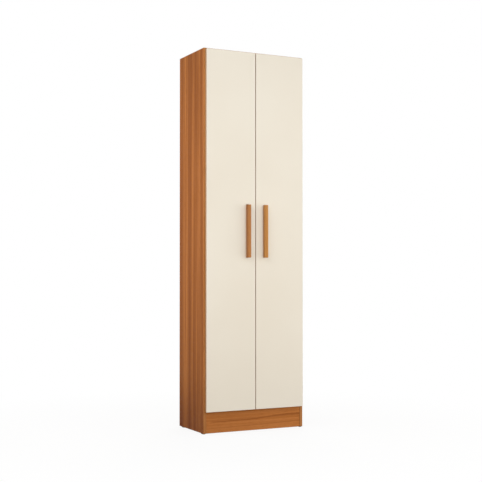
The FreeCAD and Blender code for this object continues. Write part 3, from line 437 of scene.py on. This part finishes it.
def hardboard(node):
    finish, tree, shader = new_finish(f"{node}_hardboard", {"Specular IOR Level": HARDBOARD_GLOSS})
    place = object_place(tree)
    fibres = cloud(tree, place, scale=900, detail=3, roughness=0.6)
    blotches = cloud(tree, place, scale=9)
    raw = blend_tones(tree, spread(tree, fibres, FIBRE_STRETCH), *FIBRE_TONES)
    raw = blend_tones(tree, spread(tree, blotches, BLOTCH_STRETCH, (0.0, BLOTCH_SHARE)), raw, BLOTCH_TONE)
    paint = blend_tones(tree, spread(tree, blotches, MIDDLE), *PAINT_TONES)
    inside = calc(tree, "LESS_THAN", coordinates(tree)["Y"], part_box(node)[0].y + PAINT_REACH)
    colour = blend_tones(tree, inside, raw, paint)
    roughness = spread(tree, inside, WHOLE, (FIBRE_ROUGHNESS, PAINT_ROUGHNESS))
    feed_shader(tree, shader, colour, roughness, fibres, FIBRE_DEPTH)
    dress(node, finish)


for node in ("lower_back", "middle_back", "upper_back"):
    hardboard(node)

# Joiner: a strip of white plastic with an H section, extruded and cut to length.
# The edges of the lower and the middle sheet are pushed into its grooves, which keep them in line.
dress("back_joiner", white_plastic)

# Back nails: flat-headed wire nails of zinc-plated steel, driven through the sheets from behind.
# They hold the sheets to the rear edges of the sides and panels.
NAIL_SIZES = {
    "Head height": 0.0007,
    "Dome": 0.15,
    "Cross slot": False,
    "Shank radius": 0.0008,
    "Thread": 0.0,
}
MERGE_REACH = 1e-6
SPIN_SEED = 7
THREAD_PITCH = 0.0011
HEAD_DRAFT = 0.12
SLOT_LENGTH = 1.1
SLOT_WIDTH = 0.3
SLOT_DEPTH = 1.3
SLOT_TAPER = 0.3
POINT_LIMIT = 1.02
POINT_BLUNTNESS = 9.0
HEAD_SHADE_ANGLE = radians(35)


def merged(node):
    """Shape of a node with its loose triangles joined."""
    shape = bmesh.new()
    shape.from_mesh(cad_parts[node].data)
    bmesh.ops.remove_doubles(shape, verts=shape.verts, dist=MERGE_REACH)
    return shape


def solids_of(node):
    """Lowest and highest corner of each separate solid of a node, in a fixed order."""
    shape = merged(node)
    waiting = set(shape.verts)
    boxes = []
    while waiting:
        reached = [waiting.pop()]
        for corner in reached:
            around = {edge.other_vert(corner) for edge in corner.link_edges} & waiting
            reached += around
            waiting -= around
        places = [[corner.co[axis] for corner in reached] for axis in range(3)]
        boxes.append((Vector(map(min, places)), Vector(map(max, places))))
    shape.free()
    return sorted(boxes, key=lambda box: [round(c, 5) for c in box[0]])


def screw_tree():
    """Tree that puts a domed head, slotted or plain, on a pointed shank at each place given to it.

    Dome is the share of its height that the head loses at its rim, and Thread the depth of the thread as
    a share of the shank's radius.
    """
    tree = bpy.data.node_groups.new("screws", "GeometryNodeTree")
    sockets = {
        "Places": "Geometry",
        "Heading": "Vector",
        "Head radius": "Float",
        "Head height": "Float",
        "Dome": "Float",
        "Cross slot": "Bool",
        "Shank radius": "Float",
        "Length": "Float",
        "Thread": "Float",
        "Finish": "Material",
    }
    for name, kind in sockets.items():
        tree.interface.new_socket(name, in_out="INPUT", socket_type=f"NodeSocket{kind}")
    tree.interface.new_socket("Screws", in_out="OUTPUT", socket_type="NodeSocketGeometry")
    sizes = add(tree, "NodeGroupInput", {}).outputs
    place = add(tree, "GeometryNodeInputPosition", {}).outputs[0]
    parts = add(tree, "ShaderNodeSeparateXYZ", {0: place}).outputs
    squares = [calc(tree, "POWER", parts[axis], 2.0) for axis in "XY"]
    off_axis = calc(tree, "SQRT", calc(tree, "ADD", *squares))

    def reshaped(mesh, width, level):
        """Mesh with its width scaled and its level set, point by point."""
        across = [calc(tree, "MULTIPLY", parts[axis], width) for axis in "XY"]
        spot = add(tree, "ShaderNodeCombineXYZ", {0: across[0], 1: across[1], 2: level}).outputs[0]
        return add(tree, "GeometryNodeSetPosition", {"Geometry": mesh, "Position": spot}).outputs[0]

    head = {"Vertices": 24, "Side Segments": 3, "Fill Segments": 4,
            "Radius": sizes["Head radius"], "Depth": sizes["Head height"]}
    head = add(tree, "GeometryNodeMeshCylinder", head, fill_type="TRIANGLE_FAN").outputs["Mesh"]
    rise = calc(tree, "ADD", calc(tree, "DIVIDE", parts["Z"], sizes["Head height"]), 0.5)
    outward = calc(tree, "POWER", calc(tree, "DIVIDE", off_axis, sizes["Head radius"]), 2.0)
    crown = calc(tree, "SUBTRACT", 1.0, calc(tree, "MULTIPLY", outward, sizes["Dome"]))
    level = calc(tree, "MULTIPLY", calc(tree, "MULTIPLY", rise, crown), sizes["Head height"])
    draft = calc(tree, "MULTIPLY", calc(tree, "POWER", rise, 2.0), HEAD_DRAFT)
    head = reshaped(head, calc(tree, "SUBTRACT", 1.0, draft), level)

    arms = []
    for long_axis in range(2):
        shares = [SLOT_LENGTH if axis == long_axis else SLOT_WIDTH for axis in range(2)]
        size = [calc(tree, "MULTIPLY", sizes["Head radius"], share) for share in shares]
        size.append(calc(tree, "MULTIPLY", sizes["Head height"], SLOT_DEPTH))
        size = add(tree, "ShaderNodeCombineXYZ", dict(enumerate(size))).outputs[0]
        arm = add(tree, "GeometryNodeMeshCube", {"Size": size}).outputs["Mesh"]
        deep = calc(tree, "LESS_THAN", parts["Z"], 0.0)
        narrowing = calc(tree, "MULTIPLY_ADD", deep, -SLOT_TAPER, 1.0)
        arms.append(reshaped(arm, narrowing, calc(tree, "ADD", parts["Z"], sizes["Head height"])))
    slotted = add(tree, "GeometryNodeMeshBoolean", {"Mesh 1": head}, operation="DIFFERENCE")
    for arm in arms:
        tree.links.new(arm, slotted.inputs["Mesh 2"])
    head = {"Switch": sizes["Cross slot"], "False": head, "True": slotted.outputs[0]}
    head = add(tree, "GeometryNodeSwitch", head, input_type="GEOMETRY").outputs[0]

    shank = {"Vertices": 12, "Side Segments": 40,
             "Radius": sizes["Shank radius"], "Depth": sizes["Length"]}
    shank = add(tree, "GeometryNodeMeshCylinder", shank, fill_type="NGON").outputs["Mesh"]
    down = calc(tree, "SUBTRACT", 0.5, calc(tree, "DIVIDE", parts["Z"], sizes["Length"]))
    point = calc(tree, "SUBTRACT", POINT_LIMIT, calc(tree, "POWER", down, POINT_BLUNTNESS))
    point = calc(tree, "SQRT", point)
    turn = calc(tree, "DIVIDE", calc(tree, "ARCTAN2", parts["Y"], parts["X"]), 2 * pi)
    wave = calc(tree, "FRACT", calc(tree, "ADD", calc(tree, "DIVIDE", parts["Z"], THREAD_PITCH), turn))
    wave = calc(tree, "MULTIPLY", calc(tree, "ABSOLUTE", calc(tree, "SUBTRACT", wave, 0.5)), 2.0)
    ridge = calc(tree, "SUBTRACT", 1.0, calc(tree, "MULTIPLY", wave, sizes["Thread"]))
    sunk = calc(tree, "SUBTRACT", parts["Z"], calc(tree, "MULTIPLY", sizes["Length"], 0.5))
    shank = reshaped(shank, calc(tree, "MULTIPLY", point, ridge), sunk)

    screw = add(tree, "GeometryNodeJoinGeometry", {})
    for half in (head, shank):
        tree.links.new(half, screw.inputs[0])
    spin = {2: 0.0, 3: 2 * pi, "Seed": SPIN_SEED}
    spin = add(tree, "FunctionNodeRandomValue", spin, data_type="FLOAT").outputs[1]
    spin = add(tree, "FunctionNodeAxisAngleToRotation", {"Axis": (0, 0, 1), "Angle": spin}).outputs[0]
    upright = {"Vector": sizes["Heading"]}
    upright = add(tree, "FunctionNodeAlignRotationToVector", upright, axis="Z").outputs[0]
    spin = {0: upright, 1: spin}
    spin = add(tree, "FunctionNodeRotateRotation", spin, rotation_space="LOCAL").outputs[0]
    driven = {"Points": sizes["Places"], "Instance": screw.outputs[0], "Rotation": spin}
    driven = add(tree, "GeometryNodeInstanceOnPoints", driven).outputs[0]
    solid = add(tree, "GeometryNodeRealizeInstances", {"Geometry": driven}).outputs[0]
    solid = {"Geometry": solid, "Material": sizes["Finish"]}
    solid = add(tree, "GeometryNodeSetMaterial", solid).outputs[0]
    add(tree, "NodeGroupOutput", {"Screws": solid})
    return tree


SCREWS = screw_tree()


def drive(node, body, finish, axis, way, sizes):
    """Screws or nails in the places of a node's solids.

    Their heads look along the axis where the way is 1, and against it where it is -1.
    """
    boxes = solids_of(node)
    low, high = boxes[0]
    run = "xyz".index(axis)
    across = (run + 1) % 3
    fitted = {
        **sizes,
        "Heading": [way if number == run else 0 for number in range(3)],
        "Head radius": (high - low)[across] / 2,
        "Length": (high - low)[run] - sizes["Head height"],
        "Finish": finish,
    }
    seats = bpy.data.meshes.new(f"{node}_seats")
    under = [(low + high) / 2 for low, high in boxes]
    for seat, (low, high) in zip(under, boxes):
        seat[run] = (high[run] if way > 0 else low[run]) - way * sizes["Head height"]
    seats.from_pydata(under, [], [])
    piece = bpy.data.objects.new(f"{node}_driven", seats)
    bpy.context.scene.collection.objects.link(piece)
    nodes = piece.modifiers.new("screws", "NODES")
    nodes.node_group = SCREWS
    for socket in SCREWS.interface.items_tree:
        if socket.name in fitted:
            nodes[socket.identifier] = fitted[socket.name]
    made = bpy.data.meshes.new_from_object(piece.evaluated_get(bpy.context.evaluated_depsgraph_get()))
    piece.modifiers.remove(nodes)
    piece.data = made
    made.shade_smooth()
    made.set_sharp_from_angle(angle=HEAD_SHADE_ANGLE)
    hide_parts(node)
    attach(piece, body)


drive("back_nails", "carcass", zinc, "y", 1, NAIL_SIZES)

# Glides: flat pads of dark moulded plastic under the front and rear ends of the sides.
# A peg on each is pressed into the side's lower edge.
dark_plastic = moulded("dark_plastic", tone(62, 56, 52), tone(46, 42, 40), rough=0.5)
dress("glides", dark_plastic)

# Broom hooks: zinc-plated steel wire bent into a J below a flat collar.
# Their straight ends are screwed into the fixed shelf, above the tall bay.
dress("broom_hooks", zinc)

# Wall brackets: angles of zinc-plated steel sheet under the rear edge of the top panel.
# Each has two screws into the panel and a hole for the wall screw that keeps the cupboard from tipping.
SCREW_SIZES = {
    "Head height": 0.0016,
    "Dome": 0.4,
    "Cross slot": True,
    "Shank radius": 0.00175,
    "Thread": 0.22,
}
dress("wall_brackets", zinc)
drive("bracket_screws", "carcass", zinc, "z", -1, SCREW_SIZES)

# Doors: boards lacquered cream on both faces, with a thin wood-print band glued around all four edges.
# Each hangs on four concealed hinges and laps over the front of its side.
CREAM_TONES = (tone(233, 225, 209), tone(236, 229, 214))
CREAM_GLOSS = 0.25
CREAM_ROUGHNESS = (0.34, 0.42)
PEEL_TONE = tone(227, 218, 200)
PEEL_STRETCH = (0.5, 0.8)
PEEL_SHARE = 0.2
PEEL_DEPTH = 0.00002
DOOR_BAND = 0.00025
DOOR_BAND_TONES = (tone(190, 147, 106), tone(166, 122, 82), tone(136, 96, 61))
SEAM_TONE = tone(120, 92, 66)
SEAM_DARKNESS = 0.5


def cream_door(node):
    finish, tree, shader = new_finish(f"{node}_lacquer", {"Specular IOR Level": CREAM_GLOSS})
    place = object_place(tree)
    face = blend_tones(tree, spread(tree, cloud(tree, place, scale=2.2), MIDDLE), *CREAM_TONES)
    peel = cloud(tree, place, scale=420)
    face = blend_tones(tree, spread(tree, peel, PEEL_STRETCH, (0.0, PEEL_SHARE)), face, PEEL_TONE)
    low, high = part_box(node)
    parts = coordinates(tree)
    inset = 1.0
    for axis in "XZ":
        number = "XYZ".index(axis)
        inset = calc(tree, "MINIMUM", inset, calc(tree, "SUBTRACT", parts[axis], low[number]))
        inset = calc(tree, "MINIMUM", inset, calc(tree, "SUBTRACT", high[number], parts[axis]))
    band, _ = printed_wood(tree, "z", *DOOR_BAND_TONES)
    seam = within(tree, inset, DOOR_BAND + GLUE_LINE / 2, GLUE_LINE / 2)
    face = blend_tones(tree, calc(tree, "MULTIPLY", seam, SEAM_DARKNESS), face, SEAM_TONE)
    colour = blend_tones(tree, calc(tree, "LESS_THAN", inset, DOOR_BAND), face, band)
    feed_shader(tree, shader, colour, spread(tree, peel, MIDDLE, CREAM_ROUGHNESS), peel, PEEL_DEPTH)
    dress(node, finish)


for side in ("left", "right"):
    cream_door(f"{side}_door")

# Bumpers: small round buttons of soft, cloudy rubber with a bevelled rim, stuck to the doors' backs.
# They face the front edges of the top and bottom panel, and quieten the doors as they shut.
RUBBER_TONES = (tone(196, 196, 190), tone(214, 214, 208))
RUBBER_SHADER = {"Specular IOR Level": 0.5, "Subsurface Weight": 0.2}
RUBBER_ROUGHNESS = (0.25, 0.4)
RUBBER_DEPTH = 0.00001


def cloudy_rubber():
    finish, tree, shader = new_finish("clear_rubber", RUBBER_SHADER)
    cast = cloud(tree, object_place(tree), scale=700)
    face = blend_tones(tree, spread(tree, cast, MIDDLE), *RUBBER_TONES)
    feed_shader(tree, shader, face, spread(tree, cast, MIDDLE, RUBBER_ROUGHNESS), cast, RUBBER_DEPTH)
    return finish


rubber = cloudy_rubber()
for side in ("left", "right"):
    dress(f"{side}_door_bumpers", rubber)

# Handles: straight bars of stained hardwood, upright near the meeting edges of the doors.
# Two nickel-plated screws, driven through the door from behind, hold each of them.
HANDLE_TONES = {
    "left": (tone(182, 121, 64), tone(161, 100, 46), tone(132, 75, 29)),
    "right": (tone(193, 133, 66), tone(173, 112, 48), tone(144, 85, 30)),
}
HANDLE_GLOSS = 0.25
HANDLE_ROUGHNESS = (0.36, 0.5)
HANDLE_PORE_DEPTH = 0.00006
HANDLE_SCREW_SIZES = {**SCREW_SIZES, "Head height": 0.0024, "Shank radius": 0.002}
nickel = plated("nickel_plate", tone(214, 211, 204), tone(203, 199, 191), rough=0.24, patch=120)
for side, tones in HANDLE_TONES.items():
    stain = solid_wood(f"{side}_handle_stain", "z", tones, HANDLE_GLOSS, HANDLE_ROUGHNESS,
                       HANDLE_PORE_DEPTH)
    dress(f"{side}_handle", stain)
    drive(f"{side}_handle_screws", f"{side}_door", nickel, "y", 1, HANDLE_SCREW_SIZES)

# Hinges: cups let into the doors' backs and held by two screws, each with a pin and a leaf spring.
# The arms on the pins are screwed to plates on the sides.
# Everything is nickel-plated steel, apart from the blued springs.
PRESSED_EDGE = 0.0002
EAR_ROUND = 0.005
WING_ROUND = 0.004
SHEET = 0.0026
NEARLY_ALONG = 0.99
FLAT_ANGLE = radians(1)
OUTER_ANGLE = radians(40)
PRESSED_SHADE_ANGLE = radians(25)
ARM_SCREW_SIZES = {**SCREW_SIZES, "Head height": 0.002, "Shank radius": 0.0025}


def pressed(node, body, through="x", corner=0.0):
    """Copy of a node with its outer edges rounded as the press leaves them, which stands in for the node.

    The sheet's corners, seen along the axis through it, are rounded first.
    """
    shape = merged(node)
    bmesh.ops.dissolve_limit(shape, angle_limit=FLAT_ANGLE, verts=shape.verts, edges=shape.edges)

    def outer_edges():
        return [edge for edge in shape.edges
                if edge.is_manifold and edge.calc_face_angle_signed() > OUTER_ANGLE]

    def crosses_sheet(edge):
        run = edge.verts[1].co - edge.verts[0].co
        return abs(run["xyz".index(through)]) > NEARLY_ALONG * run.length and run.length < SHEET

    def round_off(edges, reach, steps, clamp):
        bmesh.ops.bevel(shape, geom=edges, offset=reach, offset_type="OFFSET", segments=steps,
                        profile=0.5, affect="EDGES", clamp_overlap=clamp)

    if corner:
        round_off([edge for edge in outer_edges() if crosses_sheet(edge)], corner, steps=6, clamp=False)
    round_off(outer_edges(), PRESSED_EDGE, steps=2, clamp=True)
    made = bpy.data.meshes.new(f"{node}_pressed")
    shape.to_mesh(made)
    shape.free()
    made.materials.append(nickel)
    made.shade_smooth()
    made.set_sharp_from_angle(angle=PRESSED_SHADE_ANGLE)
    piece = bpy.data.objects.new(f"{node}_pressed", made)
    bpy.context.scene.collection.objects.link(piece)
    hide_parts(node)
    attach(piece, body)


spring_steel = plated("spring_steel", tone(150, 150, 154), tone(134, 134, 140), rough=0.3, patch=200)
for side, way in (("left", 1), ("right", -1)):
    pressed(f"{side}_hinge_cups", f"{side}_door", "y", EAR_ROUND)
    pressed(f"{side}_hinge_pins", f"{side}_door")
    dress(f"{side}_hinge_springs", spring_steel)
    drive(f"{side}_cup_screws", f"{side}_door", nickel, "y", 1, SCREW_SIZES)
    pressed(f"{side}_hinge_arms", "carcass")
    pressed(f"{side}_hinge_plates", "carcass", "x", WING_ROUND)
    drive(f"{side}_plate_screws", "carcass", nickel, "x", way, SCREW_SIZES)
    drive(f"{side}_arm_screws", "carcass", nickel, "x", way, ARM_SCREW_SIZES)

# Floor: a plain sheet of pale paper under the cupboard, which looks white to the camera.
# It keeps a soft shadow near the foot and throws a little warm light back up.
FLOOR_REACH = 9.0
FLOOR_PAPER = (0.85, 0.84, 0.82, 1)
FLOOR_BOUNCE = (0.2, 0.155, 0.11, 1)
NEAR_WHITE_SHARE = 0.9
FADE_START = 0.45
FADE_END = 1.9


def seen_directly(tree):
    """1 for what the camera, a mirror or glass shows, 0 for light on its way to other surfaces."""
    rays = add(tree, "ShaderNodeLightPath", {}).outputs
    seen = calc(tree, "MAXIMUM", rays["Is Camera Ray"], rays["Is Glossy Ray"])
    return calc(tree, "MAXIMUM", seen, rays["Is Transmission Ray"])


floor_shape = bmesh.new()
corners = [(x * FLOOR_REACH, y * FLOOR_REACH, 0) for x, y in ((-1, -1), (1, -1), (1, 1), (-1, 1))]
floor_shape.faces.new([floor_shape.verts.new(corner) for corner in corners])
floor_mesh = bpy.data.meshes.new("floor")
floor_shape.to_mesh(floor_mesh)
floor_shape.free()
floor = bpy.data.objects.new("floor", floor_mesh)
bpy.context.scene.collection.objects.link(floor)
floor_finish, tree, shader = new_finish("floor_paper", {"Roughness": 0.9, "Specular IOR Level": 0.0})
paper = blend_tones(tree, seen_directly(tree), FLOOR_BOUNCE, FLOOR_PAPER)
tree.links.new(paper, shader.inputs["Base Color"])
glow = add(tree, "ShaderNodeEmission", {"Strength": 1.0})
reach = add(tree, "ShaderNodeVectorMath", {0: object_place(tree)}, operation="LENGTH").outputs["Value"]
share = spread(tree, reach, (FADE_START, FADE_END), (NEAR_WHITE_SHARE, 1.0))
share = calc(tree, "MULTIPLY", seen_directly(tree), share)
both = add(tree, "ShaderNodeMixShader", {0: share, 1: shader.outputs[0], 2: glow.outputs[0]})
tree.links.new(both.outputs[0], tree.nodes["Material Output"].inputs["Surface"])
floor_mesh.materials.append(floor_finish)

# Studio light: broad soft lamps in front, at both sides, behind and above, in a dim room.
# The room looks white to the camera, in metal and in glass, but lights the cupboard only a little.
ROOM_LIGHT = 0.25
DOORS_MIDDLE = (0, 0, 1.15)
room = bpy.data.worlds.new("studio")
bpy.context.scene.world = room
room.use_nodes = True
tree = room.node_tree
backdrop = tree.nodes["Background"]
backdrop.inputs["Color"].default_value = (1, 1, 1, 1)
level = spread(tree, seen_directly(tree), WHOLE, (ROOM_LIGHT, 1.0))
tree.links.new(level, backdrop.inputs["Strength"])


def lamp(name, place, aim, width, height, power):
    """Soft lamp that looks from its place at its aim, and that the camera doesn't see."""
    light = bpy.data.lights.new(name, "AREA")
    light.shape = "RECTANGLE"
    light.size = width
    light.size_y = height
    light.energy = power
    made = bpy.data.objects.new(name, light)
    made.location = place
    made.rotation_euler = (Vector(aim) - Vector(place)).to_track_quat("-Z", "Y").to_euler()
    made.visible_camera = False
    bpy.context.scene.collection.objects.link(made)


lamp("front_lamp", (-0.3, -2.95, 0.7), DOORS_MIDDLE, width=1.8, height=1.2, power=37.8)
lamp("left_front_lamp", (-2.3, -1.9, 2.6), DOORS_MIDDLE, width=1.8, height=1.8, power=32.4)
lamp("right_front_lamp", (1.5, -2.6, 2.4), DOORS_MIDDLE, width=1.8, height=1.2, power=15.6)
lamp("left_lamp", (-1.5, 0.3, 1.2), (-0.2, 0, 1.4), width=1.4, height=1.4, power=12.2)
lamp("right_lamp", (2.7, -1.2, 0.8), DOORS_MIDDLE, width=1.6, height=1.5, power=26.2)
lamp("rear_lamp", (1.7, 2.8, 2.0), (0.1, 0.1, 1.0), width=2.4, height=2.0, power=75)
lamp("high_lamp", (0.5, 0.8, 3.8), (0.1, 0.1, 1.8), width=2.0, height=2.0, power=16)

# Camera: left of the cupboard and a little below the handles, tilted slightly up.
# Its place, lens and shift give the view of the photograph.
CAMERA_PLACE = (-2.2469, -4.4851, 0.7671)
CAMERA_YAW = 26.517
CAMERA_TILT = 0.981
SENSOR_WIDTH = 36
LENS = 75.213
SHIFT_UP = 0.03
view = bpy.data.cameras.new("camera")
view.sensor_width = SENSOR_WIDTH
view.lens = LENS
view.shift_y = SHIFT_UP
camera = bpy.data.objects.new("camera", view)
camera.location = CAMERA_PLACE
camera.rotation_euler = (radians(90 + CAMERA_TILT), 0, radians(-CAMERA_YAW))
bpy.context.scene.collection.objects.link(camera)
bpy.context.scene.camera = camera
bpy.context.scene.view_settings.view_transform = "Standard"
